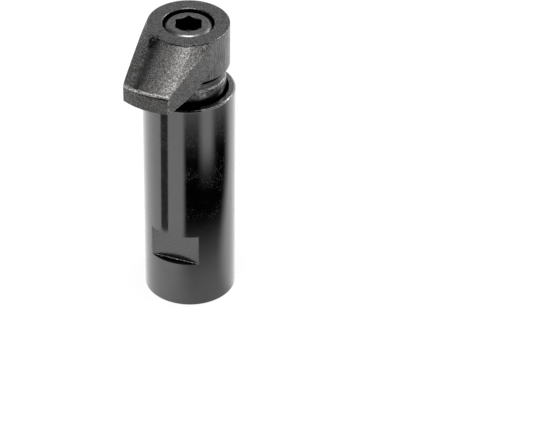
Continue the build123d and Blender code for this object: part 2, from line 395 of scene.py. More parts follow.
@dataclass(frozen=True)
class GroundSteel:
    """Hardened bearing steel, ground: bright grey with straight grinding lines under a film of oil."""

    name: str = "ground_bearing_steel"
    line_width: float = 0.12
    line_stretch: float = 25.0
    line_depth: float = 0.004

    def build(self) -> Material:
        """Builds the material.

        Returns:
            The material.
        """
        material, add = blank_material(self.name)
        place = add("TexCoord", out="Object")
        along = add("Mapping", {"Vector": place, "Scale": (1 / self.line_stretch, 1.0, 1.0)})
        lines = add("TexNoise", {"Vector": along, "Scale": per(self.line_width)})
        add("OutputMaterial", add("BsdfPrincipled", {
            "Base Color": add("ValToRGB", lines, stops=[(0.3, "#8f9092"), (0.7, "#b4b5b6")]),
            "Metallic": 1.0, "Roughness": 0.24,
            "Normal": add("Bump", {"Height": lines, "Distance": self.line_depth * MM})}))
        return material


@dataclass(frozen=True)
class DrawnSpringWire:
    """Patented cold-drawn spring wire, oiled: mid grey, with brownish blushes from stress relieving."""

    name: str = "drawn_spring_wire"
    blush: float = 3.0
    # Drawing marks are a few hundredths wide and are drawn wider so that they show
    die_mark: float = 0.2
    mark_depth: float = 0.008

    def build(self) -> Material:
        """Builds the material.

        Returns:
            The material.
        """
        material, add = blank_material(self.name)
        place = add("TexCoord", out="Object")
        blush = add("TexNoise", {"Vector": place, "Scale": per(self.blush), "Detail": 3.0})
        along = add("Mapping", {"Vector": place, "Scale": (0.1, 0.1, 1.0)})
        marks = add("TexNoise", {"Vector": along, "Scale": per(self.die_mark), "Detail": 1.0})
        add("OutputMaterial", add("BsdfPrincipled", {
            "Base Color": add("ValToRGB", blush, stops=[
                (0.3, "#8b8a8a"), (0.55, "#9a9896"), (0.75, "#9b9184")]),
            "Metallic": 1.0, "Roughness": 0.3,
            "Normal": add("Bump", {"Height": marks, "Distance": self.mark_depth * MM})}))
        return material


@dataclass(frozen=True)
class Corner:
    """Corner of a section outline, and the stretch that runs from it to the next corner.

    Each amount is one number for the whole turn or one for each column. Rounding starts `soft`
    before the corner. The stretch has `rows` rows of faces, worked as `surface` says where `worked`
    is 1 and as `rest` says where it is 0. `wear` is how far the corner has rubbed bright, most of
    all at `wear_at` of the way round it, and `wear_along` how far the stretch has. Its painted-shade
    share is how black the stretch is painted where shade falls, and `crease` how black the far end
    of the corner is painted as the shade under an edge.
    """

    radius: Amount
    height: Amount
    surface: Surface = FACED
    soft: Amount = 0.0
    rows: int = 1
    rest: Surface = FACED
    worked: Amount = 1.0
    wear: Amount = 0.0
    wear_at: Amount = 0.5
    wear_along: Amount = 0.0
    grime: Amount = 0.0
    crease: Amount = 0.0

    def share(self, surface: Surface) -> Amount:
        """Gives how far the stretch was worked in one way."""
        return self.worked * (self.surface is surface) + (1 - self.worked) * (self.rest is surface)


@dataclass(frozen=True)
class Patch:
    """Part of a piece's skin: its points, its faces and each point's shares."""

    points: Array
    faces: Sequence[Sequence[int]]
    shares: Mapping[str, Array]


def lathe(corners: Sequence[Corner], angles: Array, closed: bool = False, turn: float = 0.0) -> Patch:
    """Turns a section outline into a skin, with its soft corners rounded.

    Args:
        corners: The outline. Its material lies on either side.
        angles: The angle of each column, in radians.
        closed: Whether the last corner runs back to the first.
        turn: How far the whole is turned round, in degrees.

    Returns:
        The skin. Where columns run together at a point, they are merged later.
    """
    spots = np.array([np.broadcast_arrays(corner.radius, corner.height, angles)[:2]
                      for corner in corners], float)
    soft = np.array([np.broadcast_to(corner.soft, angles.shape) for corner in corners], float)
    if not closed:
        soft[[0, -1]] = 0
    rounded = soft.max(axis=1) > 0
    ahead = np.roll(spots, -1, axis=0) - spots
    run = np.linalg.norm(ahead, axis=1)
    heading = ahead / np.maximum(run, TINY)[:, None]
    cut = np.minimum(soft, ROUND_LIMIT * np.minimum(run, np.roll(run, 1, axis=0)))[:, None]
    starts = spots - cut * np.roll(heading, 1, axis=0)
    ends = spots + cut * heading
    rings: list[tuple[Array, Corner, Amount, Amount]] = []
    for number, corner in enumerate(corners):
        for step in np.linspace(0, 1, ROUND_ROWS + 1) if rounded[number] else [1.0]:
            bend = (1 - step) ** 2 * starts[number] + step ** 2 * ends[number]
            bend = bend + 2 * step * (1 - step) * spots[number]
            bright = np.clip(1 - ((step - corner.wear_at) / WEAR_SPAN) ** 2, 0, 1)
            bright = corner.wear * (bright if rounded[number] else 1)
            # Painted shade under an edge, darkest near the far end of the rounding
            crease_shade = corner.crease * max(1 - abs(step - CREASE_AT) / CREASE_SPAN, 0)
            rings.append((bend, corners[number - 1] if step < 0.5 else corner, bright, crease_shade))
        following = (number + 1) % len(corners)
        if following == 0 and not closed:
            break
        straight = starts[following] - ends[number]
        length = np.maximum(np.linalg.norm(straight, axis=0), TINY)
        support = np.minimum(SUPPORT / length, SUPPORT_ROWS / corner.rows)
        stations = [support] if rounded[number] else []
        stations += list(np.linspace(0, 1, corner.rows + 1)[1:-1])
        stations += [1 - support] if rounded[following] else []
        rings += [(ends[number] + station * straight, corner, corner.wear_along, 0.0)
                  for station in stations]
    radius, height = np.array([ring for ring, *_ in rings]).swapaxes(0, 1)
    around = angles + math.radians(turn)
    points = np.stack([radius * np.cos(around), radius * np.sin(around), height], -1) * MM
    amounts = {surface.value: [source.share(surface) for _, source, _, _ in rings]
               for surface in Surface}
    amounts["wear"] = [bright for _, _, bright, _ in rings]
    amounts["grime"] = [np.maximum(source.grime, crease_shade) for _, source, _, crease_shade in rings]
    shares = {label: np.array([np.broadcast_to(value, angles.shape) for value in values]).ravel()
              for label, values in amounts.items()}
    lower = np.arange(radius.size).reshape(radius.shape)
    upper = np.roll(lower, -1, axis=0)
    quads = np.stack([lower, np.roll(lower, -1, 1), np.roll(upper, -1, 1), upper], -1)
    quads = quads if closed else quads[:-1]
    return Patch(points.reshape(-1, 3), quads.reshape(-1, 4).tolist(), shares)


class Grower:
    """Geometry Nodes tree with named inputs, and the plain mesh that it grows."""

    def __init__(self, name: str, finish: Material, **sizes: float) -> None:
        """Makes the tree's inputs.

        Args:
            name: The tree's name.
            finish: The material that it sets.
            sizes: Each size's name and value. A whole number is a count.
        """
        self.name = name
        self.values = {"finish": finish, **sizes}
        self.tree = bpy.data.node_groups.new(name, "GeometryNodeTree")
        kinds = {float: "NodeSocketFloat", int: "NodeSocketInt"}
        ports = self.tree.interface
        for way in ("OUTPUT", "INPUT"):
            ports.new_socket("geometry", in_out=way, socket_type="NodeSocketGeometry")
        self.keys = {
            label: ports.new_socket(label, in_out="INPUT", socket_type=kinds.get(
                type(value), "NodeSocketMaterial")).identifier
            for label, value in self.values.items()}
        self.add = partial(add_node, self.tree)
        self.start, self.finish, *self.sizes, _ = self.add("NodeGroupInput").node.outputs

    @property
    def position(self) -> Sequence[Socket]:
        """Gives the X, Y and Z of each point."""
        return self.add("SeparateXYZ", self.add("GeometryNodeInputPosition")).node.outputs

    def spot(self, radius: Socket, turns: Socket, height: Socket) -> Socket:
        """Gives the point at a radius, after a number of turns from the X axis and at a height."""
        angle = self.add("Math:MULTIPLY", turns, math.tau)
        return self.add("CombineXYZ", *(self.add("Math:MULTIPLY", radius, self.add(kind, angle))
                                        for kind in ("Math:COSINE", "Math:SINE")), height)

    def press(self, mesh: Mesh, surface: Surface, depth: Socket) -> Mesh:
        """Presses a mesh inwards where it was worked in one way, so that no size grows.

        Args:
            mesh: The mesh.
            surface: How the stretches were worked that it presses.
            depth: How deep it presses at each point.

        Returns:
            The pressed mesh.
        """
        share = self.add("GeometryNodeInputNamedAttribute", surface.value, data_type="FLOAT")
        depth = self.add("Math:MULTIPLY", self.add("Math:MULTIPLY", depth, share), -1.0)
        offset = self.add("VectorMath:SCALE", {
            0: self.add("GeometryNodeInputNormal"), "Scale": depth})
        return self.grow(self.add("GeometryNodeSetPosition", {
            "Geometry": self.start, "Offset": offset}), mesh)

    def grow(self, geometry: Socket, mesh: Mesh | None = None) -> Mesh:
        """Ends the tree, sets its inputs and turns what it grows into a plain mesh.

        Args:
            geometry: The tree's last geometry socket.
            mesh: The mesh that the tree works on, where it needs one.

        Returns:
            The grown mesh.
        """
        real = self.add("GeometryNodeRealizeInstances", geometry)
        self.add("NodeGroupOutput", self.add("GeometryNodeSetMaterial", {
            "Geometry": real, "Material": self.finish}))
        carrier = link_object(self.name, mesh or bpy.data.meshes.new(self.name))
        modifier = carrier.modifiers.new(self.name, "NODES")
        modifier.node_group = self.tree
        for label, value in self.values.items():
            modifier[self.keys[label]] = value
        view = bpy.context.evaluated_depsgraph_get()
        grown = bpy.data.meshes.new_from_object(carrier.evaluated_get(view))
        carrier.modifiers.remove(modifier)
        bpy.data.objects.remove(carrier)
        return grown

    def patch(self, geometry: Socket) -> Patch:
        """Grows a faced part of a piece's skin.

        Args:
            geometry: The tree's last geometry socket.

        Returns:
            The patch.
        """
        mesh = self.grow(geometry)
        points = np.array([vertex.co for vertex in mesh.vertices])
        shares = {label: np.full(len(points), float(label == FACED.value)) for label in SHARES}
        return Patch(points, [face.vertices for face in mesh.polygons], shares)


@dataclass(frozen=True)
class MetricThread:
    """Right-hand metric thread with a 60 degree form, as the helical wall between two rings.

    Its groove or ridge runs from base_radius to cut_radius. It runs out at its foot, and at its top
    too where top_share is 0.
    """

    finish: Material
    foot: float
    top: float
    base_radius: float
    cut_radius: float
    pitch: float = 1.75
    top_share: float = 0.0
    run_out: float = 0.8

    def build(self) -> Patch:
        """Grows the thread.

        Returns:
            The wall, open at both ends, with its rings at z = foot and z = top.
        """
        first_turn = math.floor(self.foot / self.pitch)
        grower = Grower(
            "metric_thread", self.finish, foot=self.foot * MM, top=self.top * MM,
            pitch=self.pitch * MM, start=(first_turn - 1) * self.pitch * MM,
            turns=math.ceil(self.top / self.pitch) - first_turn + 1,
            base=self.base_radius * MM, cut=self.cut_radius * MM, top_share=self.top_share,
            run_out=self.run_out * self.pitch * MM, columns=THREAD_COLUMNS)
        foot, top, pitch, start, turns, base, cut, top_share, run_out, count = grower.sizes
        add = grower.add
        # The grid is one metre wide and long, and its middle is at the origin
        grid = add("GeometryNodeMeshGrid", {
            "Vertices X": add("Math:ADD", count, 1.0),
            "Vertices Y": add("Math:MULTIPLY_ADD", turns, THREAD_ROWS, 1.0)})
        x, y, _ = grower.position
        around = add("Math:ADD", x, 0.5)
        turn = add("Math:MULTIPLY", add("Math:ADD", y, 0.5), turns)
        height = add("Math:MULTIPLY_ADD", add("Math:ADD", turn, around), pitch, start)
        # The crest is an eighth of the pitch wide and the root a quarter, as the standard has it
        form = add("MapRange", add("Math:PINGPONG", turn, 0.5), 1 / 16, 6 / 16, 1.0, 0.0)
        rise = add("MapRange", add("Math:SUBTRACT", height, foot), 0.0, run_out)
        fall = add("MapRange", add("Math:SUBTRACT", top, height), 0.0, run_out)
        form = add("Math:SUBTRACT", add("Math:MULTIPLY", form, rise), top_share)
        form = add("Math:MULTIPLY_ADD", form, fall, top_share)
        radius = add("Math:MULTIPLY_ADD", form, add("Math:SUBTRACT", cut, base), base)
        spot = grower.spot(radius, around, add("Clamp", height, foot, top))
        wall = add("GeometryNodeSetPosition", {"Geometry": grid, "Position": spot})
        return grower.patch(add("GeometryNodeMergeByDistance", {
            "Geometry": wall, "Distance": SEW_DISTANCE}))


@dataclass
class Piece:
    """Visible piece that stands for the CAD node `node`."""

    finish: Material
    name: ClassVar[str]
    node: ClassVar[str]
    body: ClassVar[str]

    def mesh(self) -> Mesh:
        """Makes the piece's mesh."""
        raise NotImplementedError

    def sew(self, patches: Sequence[Patch], bridges: Sequence[tuple[float, float]] = ()) -> Mesh:
        """Merges what meets, closes the gaps and turns the faces outwards.

        Args:
            patches: The parts of the skin.
            bridges: The heights, in millimetres, of each two open rims that a ring of faces joins.

        Returns:
            The mesh, shaded smooth with its hard edges sharp.
        """
        faces: list[list[int]] = []
        count = 0
        for patch in patches:
            faces += [[count + corner for corner in face] for face in patch.faces]
            count += len(patch.points)
        mesh = bpy.data.meshes.new(self.name)
        mesh.from_pydata(np.concatenate([patch.points for patch in patches]).tolist(), [], faces)
        for label in SHARES:
            values = np.concatenate([patch.shares[label] for patch in patches])
            layer = mesh.attributes.new(label, "FLOAT", "POINT")
            layer.data.foreach_set("value", values.astype(np.float32))
        work = bmesh.new()
        work.from_mesh(mesh)
        bmesh.ops.remove_doubles(work, verts=work.verts, dist=SEW_DISTANCE)
        for heights in bridges:
            rims = [edge for edge in work.edges if edge.is_boundary and any(
                all(abs(vertex.co.z - height * MM) < SEW_DISTANCE for vertex in edge.verts)
                for height in heights)]
            bmesh.ops.bridge_loops(work, edges=rims)
        bmesh.ops.recalc_face_normals(work, faces=work.faces)
        crowded = sum(not edge.is_manifold for edge in work.edges)
        work.to_mesh(mesh)
        work.free()
        mesh.shade_smooth()
        mesh.set_sharp_from_angle(angle=SHARP_ANGLE)
        log.info("%s: %d faces, %d open or crowded edges", self.name, len(mesh.polygons), crowded)
        return mesh

    def build(self) -> bpy.types.Object:
        """Puts the piece in the frame, in the place of its CAD node.

        Returns:
            The piece.
        """
        mesh = self.mesh()
        mesh.materials.clear()
        mesh.materials.append(self.finish)
        piece = link_object(self.name, mesh)
        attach(piece, self.body)
        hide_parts(self.node)
        low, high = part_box(self.node)
        log.info("%s stands for %s, %.1f to %.1f mm up",
                 self.name, self.node, low[2] / MM, high[2] / MM)
        return piece


@dataclass
class SleeveHousing(Piece):
    """Turned sleeve with its guide bore, tapped core, tapped base and milled spanner flats."""

    name, node, body = "sleeve_turned", "housing", "sleeve"
    radius: float = 18.0
    height: float = 93.3
    rim_break: float = 0.6
    base_break: float = 0.5
    bore_radius: float = 14.5
    bore_floor: float = 40.0
    lead_in: float = 1.0
    lead_in_depth: float = 1.5
    flat_distance: float = 15.0
    flat_foot: float = 20.2
    flat_top: float = 33.6
    flat_corner: float = 0.4
    flat_columns: int = 45
    round_columns: int = 77
    edge_break_angle: float = 0.22
    edge_break: float = 0.03
    core_thread_foot: float = 21.975
    base_thread_top: float = 13.0
    base_countersink: float = 6.33
    drill_radius: float = 5.11
    groove_radius: float = 6.06
    drill_point: float = 118.0
    hole_margin: float = 0.6
    nose_angle: float = -97.45
    # Bearings round the nose within which the rim is painted dark as shade, and over which that fades
    grime_span: float = 44.0
    grime_fade: float = 10.0

    def angles(self) -> Array:
        """Gives the columns' angles, with close ones at the upright edges of the flats.

        Returns:
            The angles in radians.
        """
        edge = math.degrees(math.asin(self.flat_distance / self.radius))
        near = self.edge_break_angle
        half = np.concatenate([
            np.linspace(near - edge, edge - near, self.round_columns), [edge],
            np.linspace(edge + near, 180 - edge - near, self.flat_columns), [180 - edge]])
        return np.radians(np.concatenate([half, half + 180]))

    def tapped_hole(self, foot: float, top: float, going: int) -> list[Patch]:
        """Makes the wall and the bottom of a tapped hole.

        Args:
            foot: The thread's foot.
            top: The thread's top.
            going: -1 where the hole goes down from the top, +1 where it goes up from the foot.

        Returns:
            The thread and the drill's cone at its blind end.
        """
        thread = MetricThread(self.finish, foot, top, self.drill_radius, self.groove_radius)
        depth = self.drill_radius / math.tan(math.radians(self.drill_point / 2))
        end = foot if going < 0 else top
        cone = [Corner(self.drill_radius, end, rows=4), Corner(0, end + going * depth)]
        return [thread.build(), lathe(cone, columns(THREAD_COLUMNS))]

    def mesh(self) -> Mesh:
        """Turns the sleeve, mills its flats and taps its holes.

        Returns:
            The sleeve's mesh.
        """
        angles = self.angles()
        across = self.flat_distance / np.maximum(np.abs(np.sin(angles)), TINY)
        meeting = np.abs(self.radius - across) < SAME_RADIUS
        wall = self.radius - self.edge_break * meeting
        flat = np.where(meeting, wall, np.minimum(self.radius, across))
        on_flat = (flat < wall - SAME_RADIUS).astype(float)
        # Painted shade on the rim under the hook's nose
        aside = np.abs((np.degrees(angles) - self.nose_angle + 180) % 360 - 180)
        under_nose_shade = np.clip((self.grime_span - aside) / self.grime_fade + 0.5, 0, 1)
        mouth = self.drill_radius + self.hole_margin
        milled = partial(Corner, surface=MILLED, rest=POLISHED, worked=on_flat)
        outline = [
            Corner(mouth, self.bore_floor, rows=4),
            Corner(self.bore_radius, self.bore_floor, POLISHED, soft=0.3, rows=12),
            # The lead-in is painted black as shade all round, and the rim's face and bevel under the nose
            Corner(self.bore_radius, self.height - self.lead_in_depth, soft=0.1, grime=1.0),
            Corner(self.bore_radius + self.lead_in, self.height, soft=0.06, grime=under_nose_shade),
            Corner(self.radius - self.rim_break, self.height, soft=0.3, wear=0.4, grime=under_nose_shade),
            Corner(self.radius, self.height - self.rim_break, POLISHED, soft=0.12, wear=0.15, rows=24),
            milled(self.radius, self.flat_top),
            milled(flat, self.flat_top, soft=self.flat_corner, rows=8, wear_along=0.6 * meeting),
            # The ledge under each flat is painted black as shade
            milled(flat, self.flat_foot, soft=self.flat_corner, wear=0.8 * on_flat, grime=on_flat),
            Corner(self.radius, self.flat_foot, POLISHED, rows=10),
            Corner(self.radius, self.base_break, soft=0.1),
            Corner(self.radius - self.base_break, 0, soft=0.08, rows=6),
            Corner(self.base_countersink, 0, rows=2),
            Corner(mouth, self.base_countersink - mouth),
        ]
        base_foot = self.base_countersink - self.drill_radius
        return self.sew([
            lathe(outline, angles),
            *self.tapped_hole(self.core_thread_foot, self.bore_floor, -1),
            *self.tapped_hole(base_foot, self.base_thread_top, +1),
        ], [(self.bore_floor, self.bore_floor), (self.base_countersink - mouth, base_foot)])


@dataclass
class HookForging(Piece):
    """Forged hook with its turned neck and ground shank, skinned as one closed ring of sections.

    Its methods measure angles from the nose, in radians.
    """

    name, node, body = "hook_forging", "hook", "hook"
    column_count: int = 320
    rest_angle: float = -97.45
    eye_radius: float = 15.85
    eye_foot: float = 104.4
    eye_top: float = 122.0
    reach: float = 34.3
    half_tip: float = 9.9
    fall_angle: float = 33.5
    rim_step: float = 0.35
    camber: float = 0.8
    camber_fade: float = 5.0
    flat_end: float = 9.0
    flat_least: float = 0.2
    notch: float = 0.35
    tip_blend: float = 0.8
    lean_limit: float = 80.0
    heel_drop: float = 0.6
    plan_points: int = 20001
    turn_weight: float = 4.0
    pad_foot: float = 101.8
    pad_at: float = 31.0
    pad_lengthwise: float = 44.0
    pad_crosswise: float = 110.0
    crown_limit: float = 114.0
    crown_steps: int = 11
    pass_radius: float = 6.6
    seat_radius: float = 10.0
    seat_height: float = 109.4
    seat_break: float = 0.25
    neck_radius: float = 14.1
    neck_foot: float = 99.7
    groove_radius: float = 12.9
    groove_width: float = 2.2
    ring_pitch: float = 1.15
    ring_width: float = 0.5
    ring_depth: float = 0.18
    ring_count: int = 2
    shank_radius: float = 14.45
    shank_foot: float = 59.7
    # Where the shank is painted black as shade above the sleeve's mouth, and how that line climbs on one
    # side
    shank_shade_line: float = 93.8
    shank_shade_climb: float = 1.3
    shank_shade_fade: float = 4.0
    shank_shade_foot: float = 90.0
    shank_shade_from: float = 60.0
    shank_shade_turn: float = 30.0
    # Bearing and width of the painted highlight on the eye's rim
    rim_highlight_angle: float = 85.0
    rim_highlight_width: float = 16.0
    nose_fade: float = 1.5
    end_fade: float = 0.06
    corner_span: float = 0.015
    rub_from: float = 2.5
    rub_fade: float = 3.0
    shank_top_break: float = 0.4
    shank_foot_break: float = 1.0
    swell: float = 5.0
    swell_depth: float = 0.09
    lump: float = 1.5
    lump_depth: float = 0.03

    @property
    def tip(self) -> float:
        """Gives the angle of the tip's corners."""
        return math.asin(self.half_tip / self.reach)

    def plan(self, angles: Array) -> Array:
        """Gives the outline's radius in plan.

        Args:
            angles: The angles.

        Returns:
            The radius of the round end or of the tangent sides, blended at the tip's corners.
        """
        tangent = self.tip + math.acos(self.eye_radius / self.reach)
        lean = np.clip(tangent - np.abs(angles), 0, math.radians(self.lean_limit))
        side = self.eye_radius / np.cos(lean)
        near = np.maximum(self.tip_blend - np.abs(side - self.reach), 0) / self.tip_blend
        return np.minimum(side, self.reach) - near ** 2 * self.tip_blend / 4

    def spread(self) -> Array:
        """Spaces the columns, closer together where the outline turns.

        Returns:
            The columns' angles.
        """
        fine = np.linspace(-math.pi, math.pi, self.plan_points)
        radius = self.plan(fine)
        step_x, step_y = np.diff(radius * np.cos(fine)), np.diff(radius * np.sin(fine))
        heading = np.unwrap(np.arctan2(step_y, step_x))
        effort = np.hypot(step_x, step_y) + self.turn_weight * np.abs(np.gradient(heading))
        total = np.concatenate([[0], np.cumsum(effort)])
        return np.interp(np.linspace(0, total[-1], self.column_count, endpoint=False), total, fine)

    def roof(self, radius: Array, angles: Array) -> Array:
        """Shapes the roof, which falls from the eye and is a little rounded across.

        Args:
            radius: The radius at each angle.
            angles: The angles.

        Returns:
            The roof's height.
        """
        out = np.maximum(0, radius - self.eye_radius)
        drop = self.camber * (radius * np.sin(angles) / self.eye_radius) ** 2
        ahead = self.reach - radius * np.cos(angles)
        drop = drop * np.clip(ahead / self.flat_end, self.flat_least, 1)
        fall = math.tan(math.radians(self.fall_angle))
        return self.eye_top - self.rim_step - out * fall - drop * np.clip(out / self.camber_fade, 0, 1)

    def crown(self, radius: Array, angles: Array) -> Array:
        """Shapes the barrel-shaped underside.

        Args:
            radius: The radius at each angle.
            angles: The angles.

        Returns:
            The underside's height.
        """
        along, across = radius * np.cos(angles), radius * np.sin(angles)
        rise = self.pad_crosswise - np.sqrt(self.pad_crosswise ** 2 - across ** 2)
        barrel = np.maximum((self.pad_lengthwise - rise) ** 2 - (along - self.pad_at) ** 2, 0)
        height = self.pad_foot + self.pad_lengthwise - np.sqrt(barrel)
        return np.minimum(height, self.crown_limit)

    def neck(self) -> list[Corner]:
        """Lists the neck's corners.

        Returns:
            The corners, from the groove under the eye down to the shank's shoulder.
        """
        groove_foot = self.eye_foot - self.groove_width
        # The neck's turned stretches carry light painted shade, and the groove under the eye below is
        # painted black as shade
        turned = partial(Corner, surface=POLISHED, wear=0.3, grime=0.3)
        corners = [
            Corner(self.groove_radius, self.eye_foot, soft=0.2, rows=2, grime=1.0),
            Corner(self.groove_radius, groove_foot, POLISHED, soft=0.2, grime=0.5),
            turned(self.neck_radius, groove_foot, soft=0.12),
        ]
        for number in reversed(range(self.ring_count)):
            foot = self.neck_foot + self.ring_pitch * (number + 0.5)
            for rise, depth in ((1, 0), (0.5, self.ring_depth), (0, 0)):
                corners.append(turned(self.neck_radius - depth, foot + self.ring_width * rise, soft=0.05))
        return corners + [Corner(self.neck_radius, self.neck_foot, soft=0.1, wear=1.8, rows=2,
                                 wear_along=1.8)]

    def section(self, angles: Array) -> list[Corner]:
        """Lists the corners of the section at every column, all the way round it.

        Args:
            angles: The columns' angles.

        Returns:
            The corners, from the top of the hole up over the eye and down to the shank.
        """
        rim = self.plan(angles)
        ledge = rim - self.eye_radius
        tip = self.tip
        on_nose = np.clip(ledge / self.nose_fade, 0, 1)
        at_end = np.clip((tip - np.abs(angles)) / self.end_fade + 0.5, 0, 1)
        at_corner = np.clip(1 - np.abs(np.abs(angles) - tip) / self.corner_span, 0, 1)
        on_side = on_nose * (1 - at_end)
        rubbed = np.clip((ledge - self.rub_from) / self.rub_fade, 0, 1) * on_side
        rightward = np.clip(0.5 + 0.8 * angles / tip, 0, 1)
        degrees = np.degrees(angles)
        # Painted highlight on the right of the eye's rim
        rim_highlight = np.clip(1 - np.abs(degrees - self.rim_highlight_angle) / self.rim_highlight_width, 0, 1)
        # Height of the painted shade on the shank, climbing on one side
        climb = np.clip((degrees - self.shank_shade_from) / self.shank_shade_turn, 0, 1)
        smear = self.shank_shade_line + self.shank_shade_climb * climb
        foot = np.minimum(self.eye_radius + self.notch, rim)
        foot_of_nose = self.crown(np.full_like(angles, self.eye_radius), angles)
        forged = partial(Corner, surface=FORGED, rest=BRUSHED, worked=on_nose)
        return [
            Corner(self.pass_radius, self.seat_height, soft=0.1, rows=2),
            # The counterbore's wall is painted dark as shade
            Corner(self.seat_radius, self.seat_height, soft=0.15, rows=6, grime=0.8),
            Corner(self.seat_radius, self.eye_top - self.seat_break, soft=0.05, wear=0.4),
            Corner(self.seat_radius + self.seat_break, self.eye_top, soft=0.05, rows=8, wear=0.4),
            # The step below the eye's rim is painted dark as shade over the nose; the rim's right side
            # has a painted highlight
            Corner(self.eye_radius, self.eye_top, soft=0.15 + 0.15 * rim_highlight, grime=0.45 * on_nose,
                   wear=1.2 - 1.0 * on_nose + 2.0 * rim_highlight),
            Corner(foot, self.roof(foot, angles), FORGED, soft=0.15, rows=36),
            # The nose's roof edge; across the tip a painted dark line lies under its right half as shade
            forged(rim, self.roof(rim, angles), rows=22,
                   soft=0.4 + 0.55 * at_end + (0.1 + (2.4 - 2.2 * rubbed) * (angles > 0)) * on_side,
                   wear=0.9 * rubbed + (2.2 - 1.1 * rightward) * at_end + 0.3 * (1 - on_nose),
                   wear_at=0.5 - 0.3 * rightward * at_end, wear_along=0.7 * at_corner,
                   crease=np.clip(3 * rightward, 0, 1) * at_end),
            forged(rim, self.crown(rim, angles), soft=0.25, wear=0.2 * on_nose + 1.1 * on_side),
            *(forged(radius, self.crown(radius, angles), rows=2)
              for radius in (rim - ledge * step / self.crown_steps
                             for step in range(1, self.crown_steps))),
            Corner(self.eye_radius, foot_of_nose - np.clip(1 - ledge, 0, 1) * self.heel_drop,
                   BRUSHED, soft=0.3, rows=6),
            Corner(self.eye_radius, self.eye_foot, soft=0.35, rows=2),
            *self.neck(),
            Corner(self.shank_radius, self.neck_foot - self.shank_top_break, POLISHED, soft=0.15,
                   wear=0.9),
            # Painted shade on the shank: fading in over the stretch above its line, black from its line
            # down into the sleeve
            Corner(self.shank_radius, smear + self.shank_shade_fade, POLISHED),
            Corner(self.shank_radius, smear, POLISHED, grime=1.0),
            Corner(self.shank_radius, self.shank_shade_foot, POLISHED, rows=10),
            Corner(self.shank_radius, self.shank_foot + self.shank_foot_break, soft=0.15),
            Corner(self.shank_radius - self.shank_foot_break, self.shank_foot, soft=0.1, rows=3),
            Corner(self.pass_radius, self.shank_foot, soft=0.15, rows=8),
        ]

    def mesh(self) -> Mesh:
        """Forges the hook, with an uneven skin on its nose.

        Returns:
            The hook's mesh.
        """
        angles = self.spread()
        smooth = self.sew([lathe(self.section(angles), angles, closed=True, turn=self.rest_angle)])
        grower = Grower(
            "forged_skin", self.finish, swell=per(self.swell), swell_depth=self.swell_depth * MM,
            lump=per(self.lump), lump_depth=self.lump_depth * MM)
        swell, swell_depth, lump, lump_depth = grower.sizes
        swell = grower.add("TexNoise", {"Scale": swell, "Detail": 1.0})
        lump = grower.add("TexNoise", {"Scale": lump, "Detail": 2.0})
        depth = grower.add("Math:MULTIPLY", swell, swell_depth)
        depth = grower.add("Math:MULTIPLY_ADD", lump, lump_depth, depth)
        return grower.press(smooth, FORGED, depth)


@dataclass
class CapScrew(Piece):
    """Socket head cap screw with its knurled head, hexagon socket and metric thread."""

    name, node, body = "cap_screw", "clamp_screw", "screw"
    column_count: int = 240
    rest_angle: float = -9.6
    tip: float = 29.4
    tip_break: float = 0.8
    thread_top: float = 65.4
    core_radius: float = 5.0
    shank_radius: float = 6.0
    seat: float = 109.4
    under_head: float = 0.4
    head_radius: float = 9.0
    head_height: float = 12.0
    head_edge: float = 1.2
    head_drop: float = 0.7
    knurl_foot: float = 1.1
    knurl_top: float = 1.7
    knurl_depth: float = 0.16
    ridges: float = 60.0
    socket_across: float = 10.0
    socket_depth: float = 6.0
    socket_break: float = 0.35
    socket_floor_angle: float = 120.0

    def head(self) -> Patch:
        """Makes the head.

        Returns:
            The head's skin, from the floor of its socket to the rim of its underside.
        """
        angles = columns(self.column_count)
        top = self.seat + self.head_height
        floor = top - self.socket_depth
        half = self.socket_across / 2
        point = half / math.tan(math.radians(self.socket_floor_angle / 2))
        hexagon = half / np.cos(np.mod(angles, math.pi / 3) - math.pi / 6)
        mouth = np.maximum(half + self.socket_break, hexagon)
        return lathe([
            # The socket's stretches carry the forged share, which the finish paints near black as shade
            Corner(0, floor - point, FORGED, rows=5),
            Corner(half, floor, FORGED, soft=0.02),
            Corner(hexagon, floor, FORGED, rows=6),
            Corner(hexagon, top - (mouth - hexagon), soft=0.04),
            Corner(mouth, top, soft=0.05, rows=8, wear=0.5),
            Corner(self.head_radius - self.head_edge, top, soft=0.4, wear=0.2, rows=3),
            Corner(self.head_radius, top - self.head_drop, soft=0.2, wear=0.5),
            Corner(self.head_radius, top - self.knurl_top, KNURLED, rows=8),
            Corner(self.head_radius, self.seat + self.knurl_foot),
            Corner(self.head_radius, self.seat, soft=0.25, rows=3),
            Corner(self.shank_radius + 2 * self.under_head, self.seat),
        ], angles, turn=self.rest_angle)

    def mesh(self) -> Mesh:
        """Makes the head, the shank and the thread, and presses the knurl into the head.

        Returns:
            The screw's mesh.
        """
        foot = self.tip + self.tip_break
        shank = [Corner(self.shank_radius + self.under_head, self.seat),
                 Corner(self.shank_radius, self.seat - self.under_head, POLISHED, soft=0.2, rows=12),
                 Corner(self.shank_radius, self.thread_top)]
        tip = [Corner(self.core_radius, foot),
               Corner(self.core_radius - self.tip_break / 2, self.tip, rows=4), Corner(0, self.tip)]
        thread = MetricThread(self.finish, foot, self.thread_top, self.core_radius,
                              self.shank_radius, top_share=1.0)
        coarse = columns(THREAD_COLUMNS)
        smooth = self.sew([self.head(), lathe(shank, coarse), thread.build(), lathe(tip, coarse)],
                          [(self.seat, self.seat)])
        grower = Grower("straight_knurl", self.finish, ridges=self.ridges, depth=self.knurl_depth * MM)
        ridges, depth = grower.sizes
        x, y, _ = grower.position
        around = grower.add("Math:ARCTAN2", y, x)
        wave = grower.add("Math:COSINE", grower.add("Math:MULTIPLY", around, ridges))
        wave = grower.add("Math:MULTIPLY_ADD", wave, -0.5, 0.5)
        return grower.press(smooth, KNURLED, grower.add("Math:MULTIPLY", wave, depth))


